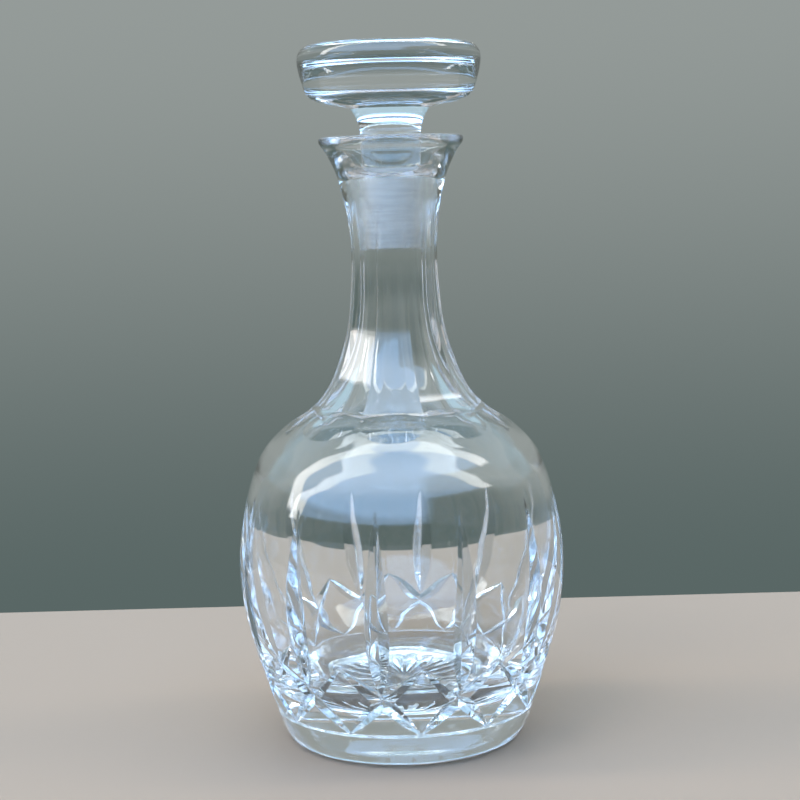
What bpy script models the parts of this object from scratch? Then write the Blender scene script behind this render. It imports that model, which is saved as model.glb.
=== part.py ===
"""Cut crystal decanter with a ground-in stopper.

Two pieces of glass: the hollow bottle, with a flat-fluted neck, long mitre cuts round the body,
a band of crossed diagonal mitres above the heel and a star cut under the foot, and the solid
stopper, whose tapered ground peg sits in the ground seat of the mouth.
Metres, +Z up, resting on z = 0, axis on the Z axis.
"""
import math

import bmesh
import bpy
from mathutils import Vector

# ---- overall sizes -------------------------------------------------------------------------
BODY_RADIUS = 0.0600        # widest part of the body
BOTTLE_HEIGHT = 0.2217      # table to the top of the lip
BODY_HEIGHT = 0.1150        # table to the edge of the shoulder
HEAD_RADIUS = 0.0332        # stopper head
HEAD_HEIGHT = 0.0212        # stopper head, from its underside to its top
STEM_HEIGHT = 0.0109        # head's underside above the lip
RIM_RADIUS = 0.0262         # flared lip
NECK_RADIUS = 0.0160        # narrowest part of the neck, over the ridges between flutes

# ---- mouth and ground joint ----------------------------------------------------------------
SEAT_TOP_RADIUS = 0.01095   # ground seat at its top edge
SEAT_TAPER = 0.0704         # radius lost per length, about 1 in 7 on the diameter
SEAT_BELOW_RIM = 0.0137     # top of the seat under the lip
PEG_LENGTH = 0.0260         # ground length of the peg
FIT_GAP = 0.0003            # clearance round the peg

# ---- glass thickness -----------------------------------------------------------------------
WALL = 0.0056               # body wall at its widest; it thickens steadily towards the floor
FLOOR = 0.0185              # glass under the liquid

# ---- cuts ----------------------------------------------------------------------------------
MITRES = 12                 # long upright cuts
MITRE_TURN = -8.9           # degrees from the front to the nearest cut
MITRE_DEPTH = 0.0030
MITRE_HALF_ANGLE = 55.0     # degrees, half the angle of the cutting wheel's edge
LATTICE_DEPTH = 0.0019
SECOND_PASS = 0.96          # the cuts to the left are made second and a touch lighter
SECOND_TURN = 0.2           # degrees that they sit round from the first
LATTICE_TOP = 0.0385
LATTICE_FOOT = 0.0135
FLUTES = 9                  # flat panels round the neck
FLUTE_TURN = -3.3
STAR_RAYS = 24
STAR_RADIUS = 0.0305
STAR_DEPTH = 0.0013
FOOT_RECESS = 0.0010        # the star's field stands this far above the table
STEPS = 60                  # facets round the axis, outside
CAVITY_STEPS = 36           # facets round the axis, inside
STOPPER_STEPS = 48

MM = 0.001
body_k = BODY_RADIUS / 0.0600           # radial scale of the body
high_k = BODY_HEIGHT / 0.1150           # height scale of the body
neck_len = BOTTLE_HEIGHT - BODY_HEIGHT  # shoulder edge to lip
neck_k = neck_len / 0.1067
throat_k = NECK_RADIUS / 0.0160


# ---- outlines, radius and height, from the lip down -------------------------------------------
def body_point(radius_mm, height_mm):
    return (radius_mm * MM * body_k, height_mm * MM * high_k)


def neck_point(radius_mm, height_mm):
    """A point between the shoulder and the lip; its radius blends from body to neck to lip."""
    up = (height_mm - 115.0) / 106.7
    to_neck = min(1.0, up / 0.30)
    k = body_k * (1.0 - to_neck) + throat_k * to_neck
    to_rim = max(0.0, (up - 0.72) / 0.28)
    k = k * (1.0 - to_rim) + RIM_RADIUS / 0.0262 * to_rim
    return (radius_mm * MM * k, BODY_HEIGHT + (height_mm - 115.0) * MM * neck_k)


OUTSIDE = [neck_point(*p) for p in (
    (0.0, 221.7), (25.3, 221.7), (26.3, 220.6), (23.9, 216.2), (20.4, 208.8), (17.9, 200.0),
    (16.3, 188.0), (16.1, 176.0), (16.7, 164.5), (18.1, 153.5), (20.3, 145.0), (22.9, 137.5),
    (26.6, 130.0), (32.7, 122.8), (37.4, 119.3))] + [body_point(*p) for p in (
        (42.3, 116.1), (46.8, 112.0), (50.1, 107.8), (53.5, 100.5), (55.7, 93.2), (58.2, 83.5),
        (59.6, 74.0), (60.0, 64.0), (59.3, 54.0), (56.7, 40.0), (53.6, 29.9), (50.4, 19.6),
        (47.9, 12.4), (46.2, 6.9), (44.4, 3.3), (42.6, 1.1), (40.6, 0.0))]
FOOT = [(37.4 * MM * body_k, 0.0), (35.2 * MM * body_k, FOOT_RECESS), (0.0, FOOT_RECESS)]

seat_top = BOTTLE_HEIGHT - SEAT_BELOW_RIM
seat_foot = seat_top - PEG_LENGTH - 0.0009
seat_foot_radius = SEAT_TOP_RADIUS - SEAT_TAPER * (seat_top - seat_foot)
thin = WALL - 0.0056                    # how much more wall than the usual one


def cavity_point(radius_mm, height_mm):
    r, z = body_point(radius_mm, height_mm)
    return (r - thin, z)


CAVITY = [(0.0, FLOOR), (14.0 * MM * body_k, FLOOR + 0.0002)] + [
    (26.0 * MM * body_k - thin, FLOOR + 0.0017),
    (34.0 * MM * body_k - thin, FLOOR + 0.0047)] + [cavity_point(*p) for p in (
        (40.5, 28.5), (45.8, 36.5), (49.8, 46.0), (52.8, 56.5), (54.9, 68.0), (55.2, 78.0),
        (54.4, 86.0), (52.0, 94.5), (48.6, 101.5), (44.2, 107.0), (36.0, 114.6))] + [
    (27.6 * MM * body_k, neck_point(0, 120.8)[1]),
    (20.4 * MM * throat_k, neck_point(0, 127.4)[1]),
    (15.0 * MM * throat_k, neck_point(0, 135.4)[1]),
    (11.5 * MM * throat_k, neck_point(0, 145.0)[1]),
    (seat_foot_radius + 0.0003, neck_point(0, 158.0)[1]),
    (seat_foot_radius, seat_foot),
    (SEAT_TOP_RADIUS, seat_top)]
MOUTH = [(SEAT_TOP_RADIUS + 0.0011, seat_top + 0.0008),
         (SEAT_TOP_RADIUS + 0.0029, seat_top + 0.0026),
         (RIM_RADIUS - 0.0078, BOTTLE_HEIGHT - 0.0056),
         (RIM_RADIUS - 0.0050, BOTTLE_HEIGHT - 0.0014),
         (RIM_RADIUS - 0.0038, BOTTLE_HEIGHT + 0.0002),
         (RIM_RADIUS - 0.0036, BOTTLE_HEIGHT + 0.0030), (0.0, BOTTLE_HEIGHT + 0.0030)]

# ---- stopper outline, from the top down --------------------------------------------------------
under = BOTTLE_HEIGHT + STEM_HEIGHT     # underside of the head, where the stem meets it
hk = HEAD_RADIUS / 0.0332
hz = HEAD_HEIGHT / 0.0212
HEAD = [(r * MM * hk, under + up * MM * hz) for r, up in (
    (0.0, 22.2), (24.0, 22.0), (29.2, 21.5), (31.6, 20.3), (32.9, 18.4), (33.2, 15.8),
    (32.7, 12.6), (31.7, 8.8), (30.6, 5.6), (29.0, 3.4), (26.6, 2.0), (21.0, 0.6))]
peg_top = seat_top - 0.0005
peg_foot = peg_top - PEG_LENGTH
peg_top_radius = SEAT_TOP_RADIUS - SEAT_TAPER * (seat_top - peg_top) - FIT_GAP
peg_foot_radius = peg_top_radius - SEAT_TAPER * PEG_LENGTH
STEM = [(peg_top_radius + 0.0037, under - 0.0011), (peg_top_radius + 0.0023, under - 0.0032),
        (peg_top_radius + 0.0010, under - 0.0062), (peg_top_radius + 0.0004, under - 0.0094),
        (peg_top_radius + 0.0003, seat_top + 0.0065), (peg_top_radius + 0.0002, peg_top + 0.0030),
        (peg_top_radius, peg_top)]
PEG = [(peg_foot_radius, peg_foot + 0.0005), (peg_foot_radius - 0.0005, peg_foot),
       (0.0, peg_foot)]


# ---- tools ------------------------------------------------------------------------------------
def clear_scene():
    for obj in list(bpy.data.objects):
        bpy.data.objects.remove(obj, do_unlink=True)


def collection(name, cutters=False):
    made = bpy.data.collections.new(name)
    bpy.context.scene.collection.children.link(made)
    made.hide_render = cutters
    return made


def glass(name, colour, roughness):
    material = bpy.data.materials.new(name)
    material.use_nodes = True
    shader = material.node_tree.nodes["Principled BSDF"]
    shader.inputs["Base Color"].default_value = colour
    shader.inputs["Roughness"].default_value = roughness
    shader.inputs["IOR"].default_value = 1.54
    shader.inputs["Transmission Weight"].default_value = 1.0
    return material


def apply_modifiers(obj):
    deps = bpy.context.evaluated_depsgraph_get()
    mesh = bpy.data.meshes.new_from_object(obj.evaluated_get(deps))
    obj.modifiers.clear()
    old, obj.data = obj.data, mesh
    mesh.name = obj.name
    bpy.data.meshes.remove(old)


def turned(name, outline, home, steps):
    """A closed solid of revolution; the outline starts and ends on the axis."""
    mesh = bpy.data.meshes.new(name)
    points = [Vector((r, 0.0, z)) for r, z in outline]
    mesh.from_pydata(points, [(i, i + 1) for i in range(len(points) - 1)], [])
    obj = bpy.data.objects.new(name, mesh)
    home.objects.link(obj)
    screw = obj.modifiers.new("Turn", 'SCREW')
    screw.axis = 'Z'
    screw.steps = screw.render_steps = steps
    screw.use_merge_vertices = True
    screw.merge_threshold = 0.00002
    screw.use_normal_calculate = True
    apply_modifiers(obj)
    recalculate(obj)
    return obj


def recalculate(obj):
    bm = bmesh.new()
    bm.from_mesh(obj.data)
    bmesh.ops.remove_doubles(bm, verts=bm.verts, dist=0.00001)
    bmesh.ops.recalc_face_normals(bm, faces=bm.faces)
    bm.to_mesh(obj.data)
    bm.free()


def around(radius, degrees, z):
    """A point at an angle from the front, which faces -Y; positive angles turn to +X."""
    a = math.radians(degrees)
    return Vector((radius * math.sin(a), -radius * math.cos(a), z))


def radius_at(z, outline=None):
    """Radius of the uncut outside at a height, by straight lines between its points."""
    outline = outline or OUTSIDE
    for (r1, z1), (r2, z2) in zip(outline, outline[1:]):
        if z2 <= z <= z1 and z1 > z2:
            return r1 + (r2 - r1) * (z1 - z) / (z1 - z2)
    return outline[-1][0]


def slope_at(z):
    """Unit outward normal of the uncut outside at a height, as (radial, up)."""
    step = 0.0015
    dr = radius_at(z + step) - radius_at(z - step)
    length = math.hypot(dr, 2.0 * step)
    return 2.0 * step / length, -dr / length


def cutter(name, lofts, home):
    """One cutter mesh from several lofts; each loft is a list of equal rings of points."""
    bm = bmesh.new()
    for rings in lofts:
        made = [[bm.verts.new(p) for p in ring] for ring in rings]
        count = len(made[0])
        bm.faces.new(made[0])
        bm.faces.new(list(reversed(made[-1])))
        for one, two in zip(made, made[1:]):
            for i in range(count):
                j = (i + 1) % count
                bm.faces.new((one[i], two[i], two[j], one[j]))
    bmesh.ops.recalc_face_normals(bm, faces=bm.faces)
    mesh = bpy.data.meshes.new(name)
    bm.to_mesh(mesh)
    bm.free()
    obj = bpy.data.objects.new(name, mesh)
    home.objects.link(obj)
    obj.display_type = 'WIRE'
    obj.hide_render = True
    return obj


def mitre_ring(point, outward, side, depth, lift=0.0030):
    """The triangle of a mitre wheel's edge, its tip at a depth under the surface point."""
    spread = (depth + lift) * math.tan(math.radians(MITRE_HALF_ANGLE))
    return [point - outward * depth, point + outward * lift + side * spread,
            point + outward * lift - side * spread]


def surface_frame(degrees, z):
    radial, up = slope_at(z)
    point = around(radius_at(z), degrees, z)
    outward = (around(radial, degrees, up)).normalized()
    return point, outward


def upright_mitre(degrees):
    low, high = 0.0285 * high_k, 0.0965 * high_k
    rings = []
    for t, share in ((0.0, -0.10), (0.08, 0.50), (0.20, 0.88), (0.36, 1.0), (0.52, 0.90),
                     (0.70, 0.60), (0.86, 0.27), (1.0, -0.08)):
        point, outward = surface_frame(degrees, low + (high - low) * t)
        side = around(1.0, degrees + 90.0, 0.0)
        rings.append(mitre_ring(point, outward, side, MITRE_DEPTH * share))
    return rings


def diagonal_mitre(degrees, hand):
    """From the top of the band to its foot, one panel to the right or the left."""
    panel = 360.0 / MITRES
    full = LATTICE_DEPTH if hand > 0 else LATTICE_DEPTH * SECOND_PASS
    degrees += 0.0 if hand > 0 else SECOND_TURN
    path = []
    for t, share in ((-0.05, -0.12), (0.06, 0.62), (0.28, 1.0), (0.52, 1.0), (0.76, 0.9),
                     (0.94, 0.5), (1.04, -0.12)):
        z = (LATTICE_TOP + (LATTICE_FOOT - LATTICE_TOP) * t) * high_k
        point, outward = surface_frame(degrees + hand * panel * t, z)
        path.append((point, outward, share))
    rings = []
    for i, (point, outward, share) in enumerate(path):
        ahead = path[min(i + 1, len(path) - 1)][0] - path[max(i - 1, 0)][0]
        side = outward.cross(ahead).normalized()
        rings.append(mitre_ring(point, outward, side, full * share, 0.0016))
    return rings


def flute(degrees):
    """A flat wheel's path down the neck: a plate whose inner edge follows the panel."""
    cut = [(206.0, -0.6), (201.5, 0.0), (197.0, 0.65), (190.0, 0.95), (180.0, 1.0),
           (166.0, 1.05), (152.0, 1.25), (141.0, 1.45), (132.0, 1.75), (125.5, 2.0),
           (120.5, 1.9), (117.6, 1.2), (115.4, -0.2), (113.5, -2.2)]
    inner = []
    for height_mm, depth_mm in cut:
        z = neck_point(0.0, height_mm)[1]
        inner.append((radius_at(z) - depth_mm * MM * throat_k, z))
    reach = 0.030 + max(r for r, _ in inner)
    ring = inner + [(reach, inner[-1][1]), (reach, inner[0][1])]
    out, along = around(1.0, degrees, 0.0), around(1.0, degrees + 90.0, 0.0)
    half = 0.0150 * throat_k
    return [[out * r + along * s + Vector((0.0, 0.0, z)) for r, z in ring]
            for s in (-half, half)]


def star_ray(degrees):
    down, side = Vector((0.0, 0.0, -1.0)), around(1.0, degrees + 90.0, 0.0)
    rings = []
    for share, depth in ((0.16, -0.08), (0.34, 0.34), (0.72, 1.0), (0.90, 0.72), (1.02, -0.10)):
        point = around(STAR_RADIUS * body_k * share, degrees, FOOT_RECESS)
        rings.append(mitre_ring(point, down, side, STAR_DEPTH * depth, 0.0006))
    return rings


def cut_away(obj, tools):
    for tool in tools:
        boolean = obj.modifiers.new(tool.name, 'BOOLEAN')
        boolean.operation = 'DIFFERENCE'
        boolean.solver = 'EXACT'
        boolean.object = tool
    apply_modifiers(obj)


def finish(obj, material, degrees):
    obj.data.materials.clear()
    obj.data.materials.append(material)
    obj.data.shade_smooth()
    obj.data.set_sharp_from_angle(angle=math.radians(degrees))


# ---- build ------------------------------------------------------------------------------------
def build():
    clear_scene()
    parts = collection("cut_crystal_decanter")
    tools = collection("cutters", cutters=True)

    bottle = turned("decanter_bottle", OUTSIDE + FOOT, parts, STEPS)
    cavity = turned("cavity", CAVITY + MOUTH, tools, CAVITY_STEPS)
    cavity.display_type = 'WIRE'
    cavity.hide_render = True
    panel, flute_step, ray = 360.0 / MITRES, 360.0 / FLUTES, 360.0 / STAR_RAYS
    mitre_angles = [MITRE_TURN + panel * i for i in range(MITRES)]
    made = [cavity, cutter("upright_mitres", [upright_mitre(a) for a in mitre_angles], tools)]
    for hand, word in ((1, "right"), (-1, "left")):
        rays = [diagonal_mitre(a + panel / 2.0, hand) for a in mitre_angles]
        made.append(cutter("diagonal_mitres_" + word, rays, tools))
    for third in range(3):
        made.append(cutter("neck_flutes_%d" % (third + 1), [
            flute(FLUTE_TURN + flute_step * i) for i in range(third, FLUTES, 3)], tools))
    made.append(cutter("foot_star", [star_ray(ray * (i + 0.5)) for i in range(STAR_RAYS)], tools))
    cut_away(bottle, made)
    finish(bottle, glass("lead_crystal", (0.96, 0.985, 0.98, 1.0), 0.02), 22.0)

    stopper = turned("stopper", HEAD + STEM + PEG, parts, STOPPER_STEPS)
    finish(stopper, glass("stopper_crystal", (0.95, 0.98, 0.99, 1.0), 0.04), 30.0)


build()
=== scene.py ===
"""Cut crystal decanter: fine glass for the bottle and its stopper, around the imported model."""
import math

import bmesh
import bpy
from bpy.props import (FloatProperty, FloatVectorProperty, IntProperty, PointerProperty)
from mathutils import Matrix, Vector


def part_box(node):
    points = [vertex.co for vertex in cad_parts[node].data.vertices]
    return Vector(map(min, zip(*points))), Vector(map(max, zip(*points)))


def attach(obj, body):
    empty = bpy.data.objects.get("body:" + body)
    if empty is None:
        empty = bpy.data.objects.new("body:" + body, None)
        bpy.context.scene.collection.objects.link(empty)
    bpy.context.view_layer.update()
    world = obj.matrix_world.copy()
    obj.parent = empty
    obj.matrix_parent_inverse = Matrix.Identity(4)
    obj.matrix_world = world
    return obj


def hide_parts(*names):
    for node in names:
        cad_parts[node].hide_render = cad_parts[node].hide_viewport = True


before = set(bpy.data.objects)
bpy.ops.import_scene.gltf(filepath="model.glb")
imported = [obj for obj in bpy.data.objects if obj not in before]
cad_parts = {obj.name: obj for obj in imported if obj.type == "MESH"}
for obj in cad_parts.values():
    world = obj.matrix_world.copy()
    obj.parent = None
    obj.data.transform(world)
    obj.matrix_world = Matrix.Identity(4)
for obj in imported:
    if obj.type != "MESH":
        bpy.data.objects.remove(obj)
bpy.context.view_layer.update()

bl_info = {
    "name": "Cut Crystal Decanter",
    "version": (1, 0, 0),
    "blender": (4, 5, 0),
    "location": "View3D > Sidebar > Decanter",
    "description": "Builds a cut crystal decanter with a ground stopper, and its stage",
    "category": "Add Mesh",
}

MM = 0.001
BOTTLE_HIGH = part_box("decanter_bottle")[1]
OUTLINE_RADIUS = 0.0600                 # the bottle's, as drawn in the outlines below
OUTLINE_HEIGHT = 0.2217
WIDE = BOTTLE_HIGH[0] / OUTLINE_RADIUS
TALL = BOTTLE_HIGH[2] / OUTLINE_HEIGHT

# Outlines as radius and height in millimetres, with S for a smooth point and C for a corner.
BOTTLE_OUTSIDE = (
    (22.3, 221.68, "S"), (24.3, 221.70, "S"), (25.9, 221.25, "S"), (26.25, 220.1, "S"),
    (23.9, 216.2, "S"), (20.4, 208.8, "S"), (17.9, 200.0, "S"), (16.3, 188.0, "S"),
    (16.05, 176.0, "S"), (16.7, 164.5, "S"), (18.1, 153.5, "S"), (20.3, 145.0, "S"),
    (22.9, 137.5, "S"), (26.6, 130.0, "S"), (32.7, 122.7, "S"), (42.3, 116.1, "S"),
    (50.1, 107.8, "S"), (53.6, 100.3, "S"), (57.0, 88.9, "S"), (59.5, 74.5, "S"),
    (59.97, 63.5, "S"), (59.3, 53.5, "S"), (56.7, 40.0, "S"), (53.6, 29.9, "S"),
    (50.4, 19.6, "S"), (48.35, 13.3, "C"), (47.72, 12.75, "C"),
    (47.95, 12.2, "C"), (46.3, 7.2, "S"), (44.6, 3.5, "S"),
    (42.6, 1.0, "S"), (40.4, 0.11, "S"), (38.6, 0.06, "S"), (36.6, 0.45, "S"),
    (34.6, 1.0, "C"), (0.0, 1.0, "C"))
CAVITY = (
    (0.0, 18.5, "C"), (14.0, 18.7, "S"), (26.0, 20.2, "S"), (34.0, 23.2, "S"),
    (40.5, 28.5, "S"), (45.8, 36.5, "S"), (49.8, 46.0, "S"), (52.8, 56.5, "S"),
    (54.9, 68.0, "S"), (55.2, 78.0, "S"), (54.4, 86.0, "S"), (52.0, 94.5, "S"),
    (48.6, 101.5, "S"), (44.2, 107.0, "S"), (36.0, 114.6, "S"), (27.6, 120.8, "S"),
    (20.4, 127.4, "S"), (15.0, 135.4, "S"), (11.5, 145.0, "S"), (9.4, 158.0, "S"),
    (9.05, 172.0, "S"), (9.05, 181.0, "C"), (10.95, 208.0, "C"))
MOUTH = (
    (12.0, 208.8, "S"), (13.8, 210.6, "S"), (16.2, 213.9, "S"), (19.3, 218.1, "S"),
    (20.7, 220.4, "S"), (21.6, 221.5, "S"), (22.5, 223.2, "C"), (0.0, 223.2, "C"))
STOPPER = (
    (0.0, 254.78, "C"), (18.0, 254.76, "S"), (27.0, 254.5, "S"), (30.6, 253.7, "S"),
    (32.5, 251.8, "S"), (33.15, 248.9, "S"), (32.75, 245.4, "S"), (31.75, 241.4, "S"),
    (30.5, 237.9, "S"), (29.0, 235.9, "S"), (26.4, 234.4, "S"), (21.5, 233.2, "S"),
    (16.6, 232.3, "S"), (14.3, 231.5, "C"), (12.9, 229.4, "S"), (11.6, 226.4, "S"),
    (11.0, 223.2, "S"), (10.85, 219.5, "S"), (10.9, 214.5, "S"), (10.85, 210.5, "S"),
    (10.6, 207.4, "C"), (8.8, 182.0, "C"), (8.35, 181.52, "C"), (0.0, 181.5, "C"))
SEAT_LOW, SEAT_HIGH = 0.1809, 0.2081    # ground part of the mouth
SEAT_WIDEST = 0.0110                    # wider than the ground part, narrower than the mouth
PEG_LOW, PEG_HIGH = 0.1815, 0.2076      # ground part of the stopper
PEG_NARROWEST = 0.0085                  # leaves the peg's flat foot out of the ground part

# Depth along a cut, as shares of its length and of its greatest depth. Below nothing, the
# wheel has left the glass.
UPRIGHT_DEPTHS = (
    (0.0, -0.10), (0.08, 0.50), (0.20, 0.88), (0.36, 1.0), (0.52, 0.90), (0.70, 0.60),
    (0.86, 0.27), (1.0, -0.08))
DIAGONAL_DEPTHS = (
    (-0.06, -0.12), (0.06, 0.34), (0.28, 0.84), (0.50, 1.0), (0.74, 0.80), (0.94, 0.30),
    (1.06, -0.12))
STAR_DEPTHS = ((0.14, -0.10), (0.34, 0.34), (0.72, 1.0), (0.90, 0.72), (1.03, -0.12))
# A neck flute as height and depth in millimetres, and the far side of its cutter as a radius.
FLUTE_PATH = (
    (207.0, -1.0), (201.5, -0.15), (196.0, 0.42), (189.0, 0.82), (180.0, 1.0), (166.0, 1.05),
    (152.0, 1.25), (141.0, 1.45), (132.0, 1.75), (125.5, 2.0), (120.5, 1.9), (117.6, 1.2),
    (115.4, -0.2), (113.5, -2.2))
FLUTE_FAR_SIDE = 75.0
FLUTE_HALF_WIDTH = 0.015
# How far each wheel's section stands out of the glass, so that a cutter clears the surface.
UPRIGHT_LIFT, DIAGONAL_LIFT, STAR_LIFT = 0.003, 0.0016, 0.0006
UPRIGHT_SPANS, DIAGONAL_SPANS, STAR_SPANS = 40, 32, 24
DIAGONAL_RUN_OUT = 0.06                 # share of a diagonal that runs past the band each way
SECOND_HAND_DEPTH = 0.97                # the second diagonals are a touch lighter and turned
SECOND_HAND_TURN = math.radians(0.15)
FOOT_RECESS = 0.001                     # the flat under the foot, over the ring it rests on

BOTTLE_STEPS, CAVITY_STEPS, STOPPER_STEPS = 240, 144, 192
BOTTLE_FINE, CAVITY_FINE, STOPPER_FINE, FLUTE_FINE, OUTSIDE_FINE = 7, 6, 8, 8, 16
WELD = 1e-6                             # points nearer than this are one point
HARD_EDGE = math.radians(28.0)          # a sharper turn of the glass is shaded as an edge

# Material slots after the first, which is the blown glass, and the stopper's ground peg.
MITRED, FLUTED, GROUND, STARRED = range(1, 5)
PEG_GROUND = 1
CRYSTAL_IOR = 1.545

FLOOR_MIDDLE, FLOOR_SIZE = (0.0, -0.32, -0.0155), (1.9, 1.06, 0.030)
FLOOR_ROUNDING = 0.004
# Softboxes: turn from the front and rise in degrees, size, brightness, colour.
SOFTBOXES = (
    ("key", -35.0, 58.0, (0.46, 0.30), 13.0, (1.0, 0.98, 0.95)),
    ("back_panel", 172.0, 62.0, (1.2, 0.35), 3.0, (0.93, 0.97, 1.0)))
SOFTBOX_AWAY, SOFTBOX_AIM = 1.5, (0.0, 0.0, 0.11)
CAMERA_PLACE = (0.0, -0.6505, 0.2063)
CAMERA_YAW, CAMERA_PITCH, CAMERA_LEAN = (math.radians(a) for a in (0.081, -7.09, -1.504))
CAMERA_SENSOR = 36.0
LIGHT_BOUNCES = 28                      # fewer leave black facets in the cut glass


# ---- sizes and colours a user would change ------------------------------------------------
class DecanterCuts(bpy.types.PropertyGroup):
    mitres: IntProperty(name="Upright cuts", description="Long cuts round the body",
                        default=12, min=6, max=24)
    mitre_turn: FloatProperty(name="Upright turn", subtype='ANGLE', default=math.radians(-8.9),
                              description="Angle from the front to the nearest upright cut")
    mitre_depth: FloatProperty(name="Upright depth", description="Deepest part of an upright cut",
                               default=0.0030, unit='LENGTH')
    mitre_low: FloatProperty(name="Upright foot", description="Height of an upright cut's foot",
                             default=0.0285, unit='LENGTH')
    mitre_high: FloatProperty(name="Upright tip", description="Height of an upright cut's tip",
                              default=0.0965, unit='LENGTH')
    wheel_angle: FloatProperty(name="Wheel angle", subtype='ANGLE', default=math.radians(55.0),
                               description="Half the angle of the cutting wheel's edge")
    lattice_depth: FloatProperty(name="Lattice depth", description="Depth of the crossed cuts",
                                 default=0.0019, unit='LENGTH')
    lattice_high: FloatProperty(name="Lattice top", description="Height of the band's top",
                                default=0.0385, unit='LENGTH')
    lattice_low: FloatProperty(name="Lattice foot", description="Height of the band's foot",
                               default=0.0135, unit='LENGTH')
    flutes: IntProperty(name="Flutes", description="Flat panels round the neck",
                        default=9, min=6, max=16)
    flute_turn: FloatProperty(name="Flute turn", subtype='ANGLE', default=math.radians(-3.3),
                              description="Angle from the front to the nearest flute")
    star_rays: IntProperty(name="Star rays", description="Rays cut under the foot",
                           default=24, min=8, max=48)
    star_radius: FloatProperty(name="Star radius", description="Length of a ray",
                               default=0.0305, unit='LENGTH')
    star_depth: FloatProperty(name="Star depth", description="Deepest part of a ray",
                              default=0.0013, unit='LENGTH')


class DecanterGlass(bpy.types.PropertyGroup):
    tint: FloatVectorProperty(name="Crystal tint", description="Colour of the clear crystal",
                              subtype='COLOR', default=(0.975, 0.992, 0.988), min=0.0, max=1.0)
    # Painted shade: the mitre cuts get a darker, bluer copy of the clear crystal's colour, so they
    # read darker than the rest of the glass.
    painted_cut_shade: FloatVectorProperty(name="Cut tint", description="Colour through the mitre cuts",
                                  subtype='COLOR', default=(0.64, 0.70, 0.73), min=0.0, max=1.0)
    frost: FloatVectorProperty(name="Ground tint", description="Colour of the ground faces",
                               subtype='COLOR', default=(1.0, 0.985, 0.94), min=0.0, max=1.0)
    frost_roughness: FloatProperty(name="Ground roughness", description="Haze of the ground faces",
                                   default=0.38, min=0.0, max=1.0)
    ripple: FloatProperty(name="Ripple", description="Waviness of the blown glass",
                          default=0.05, min=0.0, max=1.0)
    edge: FloatProperty(name="Edge softness", description="Rounding left by the acid polish",
                        default=0.0007, min=0.0, unit='LENGTH')


class DecanterStage(bpy.types.PropertyGroup):
    floor: FloatVectorProperty(name="Floor", description="Colour of the pale floor",
                               subtype='COLOR', default=(0.30, 0.215, 0.15), min=0.0, max=1.0)
    surround: FloatVectorProperty(name="Surround", description="Plain surround, above eye level",
                                  subtype='COLOR', default=(0.30, 0.33, 0.32), min=0.0, max=1.0)
    surround_low: FloatVectorProperty(name="Surround foot", description="Surround, low down",
                                      subtype='COLOR', default=(0.10, 0.135, 0.13), min=0.0,
                                      max=1.0)
    sky: FloatVectorProperty(name="Sky", description="Colour of the soft light overhead",
                             subtype='COLOR', default=(0.36, 0.60, 1.0), min=0.0, max=1.0)
    sky_strength: FloatProperty(name="Sky strength", description="Brightness overhead",
                                default=4.8, min=0.0)
    strip_strength: FloatProperty(name="Strip strength", description="Brightness of the strip",
                                  default=9.5, min=0.0)
    lens: FloatProperty(name="Lens", description="Focal length", default=80.1)


# ---- shaping helpers -----------------------------------------------------------------------
def outline_mesh(points, fineness):
    """The outline as a mesh of edges in the XZ plane, drawn by a Bezier curve."""
    curve = bpy.data.curves.new("outline", 'CURVE')
    curve.dimensions = '3D'
    curve.resolution_u = fineness
    spline = curve.splines.new('BEZIER')
    spline.bezier_points.add(len(points) - 1)
    for point, (radius, height, kind) in zip(spline.bezier_points, points):
        point.co = (radius * MM * WIDE, 0.0, height * MM * TALL)
        point.handle_left_type = point.handle_right_type = 'AUTO' if kind == "S" else 'VECTOR'
    holder = bpy.data.objects.new("outline", curve)
    bpy.context.scene.collection.objects.link(holder)
    bpy.context.view_layer.update()
    deps = bpy.context.evaluated_depsgraph_get()
    mesh = bpy.data.meshes.new_from_object(holder.evaluated_get(deps))
    bpy.data.objects.remove(holder, do_unlink=True)
    bpy.data.curves.remove(curve)
    return mesh


def turned(points, steps, fineness):
    """A closed solid of revolution about Z, as a bmesh."""
    mesh = outline_mesh(points, fineness)
    bm = bmesh.new()
    bm.from_mesh(mesh)
    bpy.data.meshes.remove(mesh)
    for vert in bm.verts:
        if vert.co.x < WELD:
            vert.co.x = 0.0
    bmesh.ops.spin(bm, geom=bm.verts[:] + bm.edges[:], cent=(0, 0, 0), axis=(0, 0, 1),
                   dvec=(0, 0, 0), angle=math.tau, steps=steps, use_merge=True,
                   use_duplicate=False)
    bmesh.ops.remove_doubles(bm, verts=bm.verts, dist=WELD)
    bmesh.ops.recalc_face_normals(bm, faces=bm.faces)
    return bm


def finished(bm, name, materials=()):
    """The bmesh as a new object in the scene; the bmesh is used up."""
    mesh = bpy.data.meshes.new(name)
    bm.to_mesh(mesh)
    bm.free()
    for material in materials:
        mesh.materials.append(material)
    obj = bpy.data.objects.new(name, mesh)
    bpy.context.scene.collection.objects.link(obj)
    return obj


def mark_index(bm, index, test=None):
    """Give a material slot to all faces, or to those whose middle passes the test."""
    for face in bm.faces:
        if test is None or test(face.calc_center_median()):
            face.material_index = index


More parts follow.
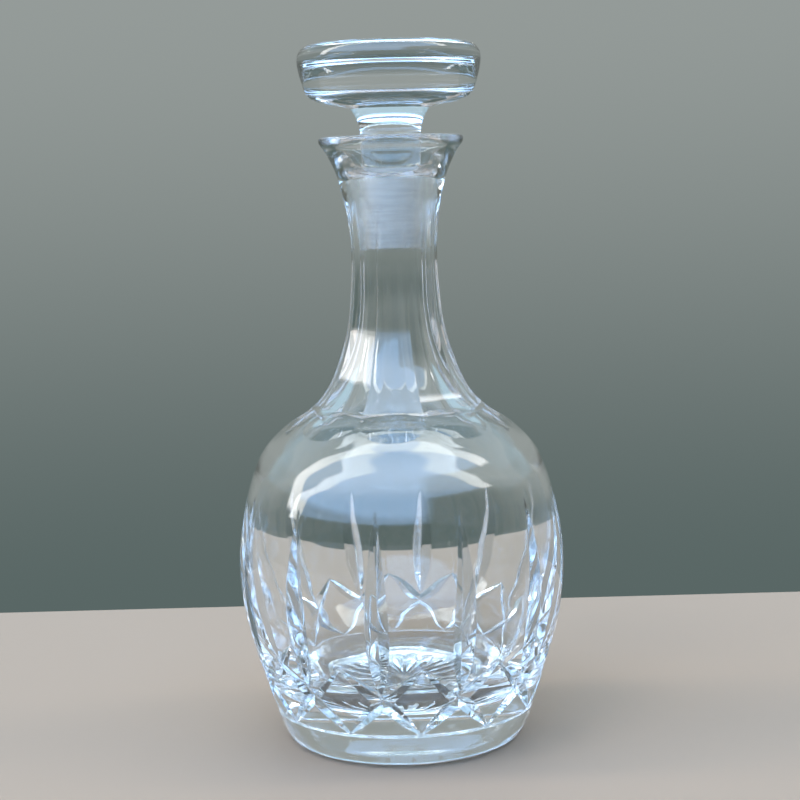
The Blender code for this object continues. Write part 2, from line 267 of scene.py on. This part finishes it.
class Outside:
    """Radius and slope of the bottle's uncut outside at a height."""

    def __init__(self):
        mesh = outline_mesh(BOTTLE_OUTSIDE, OUTSIDE_FINE)
        body_inner, neck_foot = 0.030 * WIDE, 0.1 * TALL    # leaves out the flat under the foot
        self.points = sorted((v.co.z, v.co.x) for v in mesh.vertices
                             if v.co.x > body_inner or v.co.z > neck_foot)
        bpy.data.meshes.remove(mesh)

    def radius(self, height):
        for (z1, r1), (z2, r2) in zip(self.points, self.points[1:]):
            if z1 <= height <= z2 and z2 > z1:
                return r1 + (r2 - r1) * (height - z1) / (z2 - z1)
        return self.points[-1][1]

    def place(self, angle, height):
        """The surface point at an angle from the front, and the way out of the glass there."""
        spread = self.radius(height + MM) - self.radius(height - MM)
        radial = Vector((math.sin(angle), -math.cos(angle), 0.0))
        out = (radial * 2.0 * MM - Vector((0.0, 0.0, spread))).normalized()
        return radial * self.radius(height) + Vector((0.0, 0.0, height)), out


def share_at(stops, t):
    """The value at t of a smooth cubic curve through stops of (place, value)."""
    for i, ((t0, v0), (t1, v1)) in enumerate(zip(stops, stops[1:])):
        if t <= t1:
            before = stops[max(i - 1, 0)]
            after = stops[min(i + 2, len(stops) - 1)]
            m0 = (v1 - before[1]) / (t1 - before[0])
            m1 = (after[1] - v0) / (after[0] - t0)
            gap = t1 - t0
            u = (t - t0) / gap
            return ((2 * u ** 3 - 3 * u ** 2 + 1) * v0 + (u ** 3 - 2 * u ** 2 + u) * gap * m0
                    + (3 * u ** 2 - 2 * u ** 3) * v1 + (u ** 3 - u ** 2) * gap * m1)
    return stops[-1][1]


def wheel_section(point, out, along, depth, lift, half_angle):
    """Matrix that turns the unit triangle into the wheel's edge, tip down in the glass."""
    side = along.cross(out).normalized()
    drop = depth + lift
    axes = Matrix((side, out, side.cross(out))).transposed().to_4x4()
    axes.translation = point
    spread = drop * math.tan(half_angle) / (math.sqrt(3.0) / 2.0)
    slide = Matrix.Translation((0.0, drop / 1.5 - depth, 0.0))
    return axes @ slide @ Matrix.Diagonal((spread, -drop / 1.5, 1.0, 1.0))


def swept_groove(bm, sections):
    """A V-shaped cutter along a path: the wheel's section drawn from place to place."""
    ring = bmesh.ops.create_circle(bm, cap_ends=True, segments=3, radius=1.0,
                                   matrix=sections[0])["verts"]
    edges = list({e for v in ring for e in v.link_edges})
    for last, here in zip(sections, sections[1:]):
        grown = bmesh.ops.extrude_edge_only(bm, edges=edges)["geom"]
        ring = [g for g in grown if isinstance(g, bmesh.types.BMVert)]
        edges = [g for g in grown if isinstance(g, bmesh.types.BMEdge)
                 and all(v in ring for v in g.verts)]
        bmesh.ops.transform(bm, matrix=here @ last.inverted(), verts=ring)
    bmesh.ops.contextual_create(bm, geom=edges)


def repeated(bm, count, step):
    """Copies of everything in the bmesh, turned about Z."""
    if count > 1:
        bmesh.ops.spin(bm, geom=bm.verts[:] + bm.edges[:] + bm.faces[:], cent=(0, 0, 0),
                       axis=(0, 0, 1), dvec=(0, 0, 0), angle=step * (count - 1),
                       steps=count - 1, use_merge=False, use_duplicate=True)
    bmesh.ops.recalc_face_normals(bm, faces=bm.faces)


def cutter_from(bm, name, index):
    """A cutting tool that leaves faces of one material slot of the bottle."""
    mark_index(bm, index)
    return finished(bm, name, bpy.data.objects["crystal_bottle"].data.materials)


def cut(target, cutters):
    """Take every cutter out of the target's mesh, and delete the cutters."""
    for cutter in cutters:
        step = target.modifiers.new(cutter.name, 'BOOLEAN')
        step.operation = 'DIFFERENCE'
        step.solver = 'MANIFOLD'
        step.object = cutter
    deps = bpy.context.evaluated_depsgraph_get()
    mesh = bpy.data.meshes.new_from_object(target.evaluated_get(deps))
    target.modifiers.clear()
    old, target.data = target.data, mesh
    mesh.name = target.name
    bpy.data.meshes.remove(old)
    for cutter in cutters:
        data = cutter.data
        bpy.data.objects.remove(cutter, do_unlink=True)
        bpy.data.meshes.remove(data)


def crisp(obj):
    """Smooth faces with hard edges where two kinds of cut meet or the glass turns sharply.

    Edges and faces are put in the order of their points, so that every run gives one mesh.
    """
    bm = bmesh.new()
    bm.from_mesh(obj.data)
    for face in bm.faces:
        face.smooth = True
    for edge in bm.edges:
        if len(edge.link_faces) == 2:
            one, two = edge.link_faces
            edge.smooth = (one.material_index == two.material_index
                           and edge.calc_face_angle(0.0) < HARD_EDGE)
    for elements in (bm.edges, bm.faces):
        order = sorted(elements, key=lambda element: sorted(v.index for v in element.verts))
        place = {element: i for i, element in enumerate(order)}
        elements.sort(key=place.get)
    bm.to_mesh(obj.data)
    bm.free()


# ---- materials -----------------------------------------------------------------------------
def node(tree, kind, **settings):
    """A new node with settings for its inputs, or else its properties, by name."""
    made = tree.nodes.new(kind)
    for key, value in settings.items():
        if key in made.inputs:
            made.inputs[key].default_value = value
        else:
            setattr(made, key, value)
    return made


def ranged(tree, source, low, high, to_low=0.0, to_high=1.0, **settings):
    """A value from low to high, mapped to another range."""
    made = node(tree, "ShaderNodeMapRange", **settings)
    for key, value in (("From Min", low), ("From Max", high), ("To Min", to_low),
                       ("To Max", to_high)):
        made.inputs[key].default_value = value
    tree.links.new(source, made.inputs["Value"])
    return made.outputs["Result"]


def laid_over(tree, below, above, mask):
    """One colour over another by a mask; a colour is a socket or three numbers."""
    made = node(tree, "ShaderNodeMix", data_type='RGBA')
    for side, colour in (("A", below), ("B", above)):
        if isinstance(colour, bpy.types.NodeSocket):
            tree.links.new(colour, made.inputs[side])
        else:
            made.inputs[side].default_value = (*colour, 1.0)
    tree.links.new(mask, made.inputs["Factor"])
    return made.outputs["Result"]


def glass_material(name, clear):
    """A new material with crystal's index, its shader, and the piece's own coordinates."""
    material = bpy.data.materials.new(name)
    material.use_nodes = True
    shader = material.node_tree.nodes["Principled BSDF"]
    shader.inputs["Transmission Weight"].default_value = clear
    shader.inputs["IOR"].default_value = CRYSTAL_IOR
    place = node(material.node_tree, "ShaderNodeTexCoord")
    return material, shader, place.outputs["Object"]


def crystal(name, tint, ripple, ripple_scale, roughness, edge=0.0):
    """Clear lead crystal with the faint waviness and film that handled glass has."""
    material, shader, place = glass_material(name, 1.0)
    tree = material.node_tree
    link = tree.links.new
    waves = node(tree, "ShaderNodeTexNoise", Scale=ripple_scale, Detail=1.5, Roughness=0.4)
    bump = node(tree, "ShaderNodeBump", Strength=ripple, Distance=0.001)
    film = node(tree, "ShaderNodeTexNoise", Scale=55.0, Detail=4.0, Roughness=0.6)
    link(place, waves.inputs["Vector"])
    link(place, film.inputs["Vector"])
    link(waves.outputs["Fac"], bump.inputs["Height"])
    link(bump.outputs["Normal"], shader.inputs["Normal"])
    if edge > 0.0:
        softened = node(tree, "ShaderNodeBevel", samples=4, Radius=edge)
        link(softened.outputs["Normal"], bump.inputs["Normal"])
    link(ranged(tree, film.outputs["Fac"], 0.45, 0.75, *roughness), shader.inputs["Roughness"])
    filmed = [c * 0.985 for c in tint]
    link(laid_over(tree, tint, filmed, film.outputs["Fac"]), shader.inputs["Base Color"])
    return material


def ground_glass(name, tint, roughness, clear):
    """Glass ground with fine grit: hazy, a little uneven, with faint rings from the lathe."""
    material, shader, place = glass_material(name, clear)
    tree = material.node_tree
    link = tree.links.new
    squash = node(tree, "ShaderNodeMapping", Scale=(0.12, 0.12, 1.0))
    rings = node(tree, "ShaderNodeTexNoise", Scale=700.0, Detail=3.0, Roughness=0.6)
    grit = node(tree, "ShaderNodeTexNoise", Scale=2500.0, Detail=2.0, Roughness=0.7)
    both = node(tree, "ShaderNodeMath", operation='ADD')
    bump = node(tree, "ShaderNodeBump", Strength=0.5, Distance=0.0003)
    patch = node(tree, "ShaderNodeTexNoise", Scale=120.0, Detail=2.0, Roughness=0.5)
    link(place, squash.inputs["Vector"])
    link(squash.outputs["Vector"], rings.inputs["Vector"])
    link(place, grit.inputs["Vector"])
    link(place, patch.inputs["Vector"])
    link(rings.outputs["Fac"], both.inputs[0])
    link(grit.outputs["Fac"], both.inputs[1])
    link(both.outputs["Value"], bump.inputs["Height"])
    link(bump.outputs["Normal"], shader.inputs["Normal"])
    haze = ranged(tree, patch.outputs["Fac"], 0.0, 1.0, roughness * 0.8, roughness * 1.2)
    link(haze, shader.inputs["Roughness"])
    furrow = [c * 0.86 for c in tint]
    bands = ranged(tree, rings.outputs["Fac"], 0.42, 0.72)
    link(laid_over(tree, tint, furrow, bands), shader.inputs["Base Color"])
    return material


def bottle_materials(glass):
    """In the order of the bottle's slots: blown, mitred, fluted, ground and starred."""
    clear = tuple(glass.tint)
    return (crystal("blown_crystal", clear, glass.ripple, 38.0, (0.0, 0.018), glass.edge),
            # The mitre cuts' crystal carries the painted shade colour, darker than the clear
            # crystal.
            crystal("mitre_cut_crystal", tuple(glass.painted_cut_shade), glass.ripple * 0.3, 90.0,
                    (0.0, 0.02), glass.edge),
            crystal("fluted_crystal", clear, glass.ripple * 1.4, 90.0, (0.0, 0.018), glass.edge),
            ground_glass("ground_seat", tuple(glass.frost), glass.frost_roughness * 0.6,
                         clear=0.92),
            crystal("star_cut_crystal", clear, glass.ripple * 1.5, 160.0, (0.01, 0.05)))


# ---- the two pieces ------------------------------------------------------------------------
class DECANTER_OT_bottle(bpy.types.Operator):
    """Turn the bottle, hollow it and cut its flutes, mitres, lattice and star"""
    bl_idname = "decanter.bottle"
    bl_label = "Bottle"

    def execute(self, context):
        cuts, glass = context.scene.decanter_cuts, context.scene.decanter_glass
        top = BOTTLE_OUTSIDE[0][1]
        blank = turned(((0.0, top, "C"),) + BOTTLE_OUTSIDE, BOTTLE_STEPS, BOTTLE_FINE)
        bottle = finished(blank, "crystal_bottle", bottle_materials(glass))
        outside = Outside()

        hollow = turned(CAVITY + MOUTH, CAVITY_STEPS, CAVITY_FINE)
        mark_index(hollow, GROUND, lambda c: SEAT_LOW < c.z < SEAT_HIGH
                   and c.xy.length < SEAT_WIDEST * WIDE)
        cavity = finished(hollow, "cavity", bottle.data.materials)

        panel = math.tau / cuts.mitres
        cutters = [cavity, self.uprights(cuts, outside, panel)]
        cutters += [self.diagonals(cuts, outside, panel, hand) for hand in (1.0, -1.0)]
        cutters += [self.neck_flutes(cuts, outside, third) for third in range(3)]
        cutters.append(self.star(cuts))
        cut(bottle, cutters)
        crisp(bottle)
        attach(bottle, "bottle")
        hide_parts("decanter_bottle")
        return {'FINISHED'}

    def uprights(self, cuts, outside, panel):
        """Long cuts that deepen from their points to the middle of the body."""
        low, high = cuts.mitre_low * TALL, cuts.mitre_high * TALL
        sections = []
        for i in range(UPRIGHT_SPANS + 1):
            t = i / UPRIGHT_SPANS
            height = low + (high - low) * t
            point, out = outside.place(cuts.mitre_turn, height)
            ahead = outside.place(cuts.mitre_turn, height + MM)[0] - point
            depth = cuts.mitre_depth * share_at(UPRIGHT_DEPTHS, t)
            sections.append(wheel_section(point, out, ahead, depth, UPRIGHT_LIFT,
                                          cuts.wheel_angle))
        bm = bmesh.new()
        swept_groove(bm, sections)
        repeated(bm, cuts.mitres, panel)
        return cutter_from(bm, "upright_mitres", MITRED)

    def diagonals(self, cuts, outside, panel, hand):
        """One hand of the crossed cuts."""
        depth = cuts.lattice_depth * (1.0 if hand > 0.0 else SECOND_HAND_DEPTH)
        start = cuts.mitre_turn + panel / 2.0 + (0.0 if hand > 0.0 else SECOND_HAND_TURN)

        def at(t):
            height = cuts.lattice_high + (cuts.lattice_low - cuts.lattice_high) * t
            return outside.place(start + hand * panel * t, height * TALL)

        sections = []
        for i in range(DIAGONAL_SPANS + 1):
            t = (1.0 + 2.0 * DIAGONAL_RUN_OUT) * i / DIAGONAL_SPANS - DIAGONAL_RUN_OUT
            point, out = at(t)
            ahead = at(t + 0.01)[0] - point
            sections.append(wheel_section(point, out, ahead, depth * share_at(DIAGONAL_DEPTHS, t),
                                          DIAGONAL_LIFT, cuts.wheel_angle))
        bm = bmesh.new()
        swept_groove(bm, sections)
        repeated(bm, cuts.mitres, panel)
        return cutter_from(bm, "diagonals", MITRED)

    def neck_flutes(self, cuts, outside, third):
        """Flat panels down the neck: every third one, so that neighbours don't share a cutter."""
        points = []
        for height, depth in FLUTE_PATH:
            radius = outside.radius(height * MM * TALL) / WIDE / MM - depth
            points.append((radius, height, "S"))
        points += [(FLUTE_FAR_SIDE, FLUTE_PATH[-1][0], "C"),
                   (FLUTE_FAR_SIDE, FLUTE_PATH[0][0], "C")]
        mesh = outline_mesh(points, FLUTE_FINE)
        bm = bmesh.new()
        bm.from_mesh(mesh)
        bpy.data.meshes.remove(mesh)
        bmesh.ops.contextual_create(bm, geom=[e for e in bm.edges if e.is_boundary or e.is_wire])
        half = FLUTE_HALF_WIDTH * WIDE
        bmesh.ops.translate(bm, verts=bm.verts, vec=(0.0, -half, 0.0))
        grown = bmesh.ops.extrude_face_region(bm, geom=bm.faces[:])["geom"]
        bmesh.ops.translate(bm, vec=(0.0, 2.0 * half, 0.0),
                            verts=[g for g in grown if isinstance(g, bmesh.types.BMVert)])
        step = math.tau / cuts.flutes
        turn = cuts.flute_turn + step * third - math.pi / 2.0
        bmesh.ops.rotate(bm, verts=bm.verts, cent=(0, 0, 0), matrix=Matrix.Rotation(turn, 3, 'Z'))
        repeated(bm, (cuts.flutes + 2 - third) // 3, step * 3.0)
        return cutter_from(bm, "flutes_%d" % third, FLUTED)

    def star(self, cuts):
        """Rays under the foot, deepest nearly three quarters of the way out."""
        down, along = Vector((0.0, 0.0, -1.0)), Vector((0.0, -1.0, 0.0))
        sections = []
        first, last = STAR_DEPTHS[0][0], STAR_DEPTHS[-1][0]
        for i in range(STAR_SPANS + 1):
            t = first + (last - first) * i / STAR_SPANS
            point = along * cuts.star_radius * t * WIDE + Vector((0.0, 0.0, FOOT_RECESS))
            depth = cuts.star_depth * share_at(STAR_DEPTHS, t)
            sections.append(wheel_section(point, down, along, depth, STAR_LIFT,
                                          cuts.wheel_angle))
        bm = bmesh.new()
        swept_groove(bm, sections)
        bmesh.ops.rotate(bm, verts=bm.verts, cent=(0, 0, 0),
                         matrix=Matrix.Rotation(math.pi / cuts.star_rays, 3, 'Z'))
        repeated(bm, cuts.star_rays, math.tau / cuts.star_rays)
        return cutter_from(bm, "foot_star", STARRED)


class DECANTER_OT_stopper(bpy.types.Operator):
    """Turn the solid stopper with its ground peg"""
    bl_idname = "decanter.stopper"
    bl_label = "Stopper"

    def execute(self, context):
        glass = context.scene.decanter_glass
        bm = turned(STOPPER, STOPPER_STEPS, STOPPER_FINE)
        mark_index(bm, PEG_GROUND, lambda c: PEG_LOW < c.z < PEG_HIGH
                   and c.xy.length > PEG_NARROWEST * WIDE)
        stopper = finished(bm, "crystal_stopper", (
            crystal("stopper_crystal", tuple(glass.tint), glass.ripple * 0.6, 45.0, (0.0, 0.015)),
            ground_glass("ground_peg", tuple(glass.frost), glass.frost_roughness, clear=0.25)))
        crisp(stopper)
        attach(stopper, "stopper")
        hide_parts("stopper")
        return {'FINISHED'}


# ---- the stage -----------------------------------------------------------------------------
class DECANTER_OT_stage(bpy.types.Operator):
    """Pale floor, plain surround, soft lights and the camera"""
    bl_idname = "decanter.stage"
    bl_label = "Stage"

    def execute(self, context):
        stage = context.scene.decanter_stage
        self.floor(stage)
        self.surround(stage)
        for softbox in SOFTBOXES:
            self.softbox(*softbox)
        self.camera(stage)
        return {'FINISHED'}

    def floor(self, stage):
        bm = bmesh.new()
        bmesh.ops.create_cube(bm, size=1.0, matrix=Matrix.Translation(FLOOR_MIDDLE)
                              @ Matrix.Diagonal((*FLOOR_SIZE, 1.0)))
        bmesh.ops.bevel(bm, geom=bm.edges[:], offset=FLOOR_ROUNDING, offset_type='OFFSET',
                        segments=4, profile=0.5, affect='EDGES', material=-1)
        material = bpy.data.materials.new("pale_floor")
        material.use_nodes = True
        shader = material.node_tree.nodes["Principled BSDF"]
        shader.inputs["Base Color"].default_value = (*stage.floor, 1.0)
        shader.inputs["Roughness"].default_value = 0.55
        finished(bm, "floor", (material,))

    def surround(self, stage):
        """A plain surround, paler upwards; glass and floor also get a sky and a long strip."""
        scene = bpy.context.scene
        world = scene.world or bpy.data.worlds.new("surround")
        scene.world = world
        world.use_nodes = True
        tree = world.node_tree
        back = tree.nodes["Background"]
        way = node(tree, "ShaderNodeTexCoord")
        parts = node(tree, "ShaderNodeSeparateXYZ")
        tree.links.new(way.outputs["Generated"], parts.inputs["Vector"])
        x, y, z = (parts.outputs[axis] for axis in "XYZ")

        def ramp(source, low, high):
            return ranged(tree, source, low, high, interpolation_type='SMOOTHSTEP')

        def times(*sources):
            total = sources[0]
            for source in sources[1:]:
                made = node(tree, "ShaderNodeMath", operation='MULTIPLY')
                tree.links.new(total, made.inputs[0])
                tree.links.new(source, made.inputs[1])
                total = made.outputs["Value"]
            return total

        def over(below, above, *masks):
            return laid_over(tree, below, above, times(*masks))

        def lit_by(strength, *colour):
            return tuple(c * strength for c in colour)

        wall = over(tuple(stage.surround_low), tuple(stage.surround), ramp(z, -0.24, 0.12))
        sky = lit_by(stage.sky_strength, *stage.sky)
        dim = lit_by(stage.sky_strength * 0.022, 0.95, 1.0, 0.85)
        overhead = lit_by(stage.sky_strength * 0.15, 0.62, 0.86, 1.0)
        zenith = lit_by(stage.strip_strength * 0.75, 0.85, 0.94, 1.0)
        strip = over((stage.strip_strength,) * 3, zenith, ramp(z, 0.62, 0.95))
        front, rear = ramp(y, 0.0, -0.12), ramp(y, 0.0, 0.12)
        lit = over(wall, dim, ramp(y, 0.05, -0.10))
        lit = over(lit, sky, ramp(z, 0.26, 0.34), front, ramp(x, 0.44, 0.16))
        lit = over(lit, sky, ramp(z, 0.62, 0.72), front)
        lit = over(lit, overhead, ramp(z, 0.36, 0.46), rear)
        lit = over(lit, strip, ramp(z, 0.16, 0.22), ramp(y, 0.09, 0.05), ramp(y, -0.12, -0.08),
                   ramp(x, 0.80, 0.74))
        path = node(tree, "ShaderNodeLightPath")
        lit = over(lit, wall, path.outputs["Is Camera Ray"])
        tree.links.new(lit, back.inputs["Color"])
        scene.view_settings.view_transform = 'Standard'

    def softbox(self, name, turn, rise, size, bright, colour):
        """A soft panel in a direction from the front, as bright as asked whatever its size."""
        turn, rise = math.radians(turn), math.radians(rise)
        middle = Vector(SOFTBOX_AIM)
        data = bpy.data.lights.new(name, 'AREA')
        data.shape = 'RECTANGLE'
        data.size, data.size_y = size
        data.energy = bright * math.pi * size[0] * size[1]
        data.color = colour
        light = bpy.data.objects.new(name, data)
        light.location = middle + SOFTBOX_AWAY * Vector((
            math.sin(turn) * math.cos(rise), -math.cos(turn) * math.cos(rise), math.sin(rise)))
        light.rotation_euler = (middle - light.location).to_track_quat('-Z', 'Y').to_euler()
        light.visible_camera = light.visible_glossy = light.visible_transmission = False
        bpy.context.scene.collection.objects.link(light)

    def camera(self, stage):
        """At the height, tilt and slight lean of the view that shows the front."""
        level = math.cos(CAMERA_PITCH)
        ahead = Vector((math.sin(CAMERA_YAW) * level, math.cos(CAMERA_YAW) * level,
                        math.sin(CAMERA_PITCH)))
        right = Vector((math.cos(CAMERA_YAW), -math.sin(CAMERA_YAW), 0.0))
        up = right.cross(ahead)
        lens_right = right * math.cos(CAMERA_LEAN) + up * math.sin(CAMERA_LEAN)
        lens_up = up * math.cos(CAMERA_LEAN) - right * math.sin(CAMERA_LEAN)
        data = bpy.data.cameras.new("camera")
        data.lens = stage.lens
        data.sensor_width = CAMERA_SENSOR
        data.clip_start = 0.01
        camera = bpy.data.objects.new("camera", data)
        camera.matrix_world = Matrix.Translation(CAMERA_PLACE) @ Matrix(
            (lens_right, lens_up, -ahead)).transposed().to_4x4()
        bpy.context.scene.collection.objects.link(camera)
        bpy.context.scene.camera = camera


class DECANTER_PT_panel(bpy.types.Panel):
    bl_idname = "DECANTER_PT_panel"
    bl_label = "Cut Crystal Decanter"
    bl_space_type = 'VIEW_3D'
    bl_region_type = 'UI'
    bl_category = "Decanter"

    def draw(self, context):
        layout = self.layout
        for group in ("decanter_cuts", "decanter_glass", "decanter_stage"):
            settings = getattr(context.scene, group)
            box = layout.box()
            for name in settings.bl_rna.properties.keys():
                if name not in ("rna_type", "name"):
                    box.prop(settings, name)
        for operator in OPERATORS:
            layout.operator(operator.bl_idname)


OPERATORS = (DECANTER_OT_bottle, DECANTER_OT_stopper, DECANTER_OT_stage)
GROUPS = {"decanter_cuts": DecanterCuts, "decanter_glass": DecanterGlass,
          "decanter_stage": DecanterStage}


def register():
    for cls in (*GROUPS.values(), *OPERATORS, DECANTER_PT_panel):
        bpy.utils.register_class(cls)
    for name, cls in GROUPS.items():
        setattr(bpy.types.Scene, name, PointerProperty(type=cls))


def unregister():
    for name in GROUPS:
        delattr(bpy.types.Scene, name)
    for cls in (DECANTER_PT_panel, *OPERATORS, *GROUPS.values()):
        bpy.utils.unregister_class(cls)


def main():
    register()
    bpy.ops.decanter.bottle()
    bpy.ops.decanter.stopper()
    bpy.ops.decanter.stage()
    light = bpy.context.scene.cycles
    light.max_bounces = light.transmission_bounces = light.glossy_bounces = LIGHT_BOUNCES


if __name__ == "__main__":
    main()
